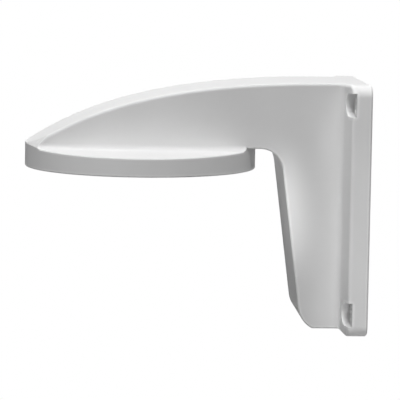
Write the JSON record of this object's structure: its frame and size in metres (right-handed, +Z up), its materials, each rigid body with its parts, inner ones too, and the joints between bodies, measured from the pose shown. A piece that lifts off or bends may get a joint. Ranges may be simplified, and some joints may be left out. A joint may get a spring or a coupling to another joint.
{
  "type": "camera wall bracket",
  "caption": "Moulded white wall bracket whose hollow arm carries a small ceiling-type camera under a round plate, clear of the wall.",
  "frame": {"origin": "on the wall plane, midway between the four wall screws", "axes": "+Y points into the wall, the arm reaches out along -Y, +Z is up and +X is the side seen in the picture"},
  "size_m": [0.122, 0.179, 0.1315],
  "materials": {
    "bracket_white": "fine satin moulded texture"
  },
  "bodies": {
    "root": {"bracket_body": "bracket_white"}
  },
  "joints": []
}
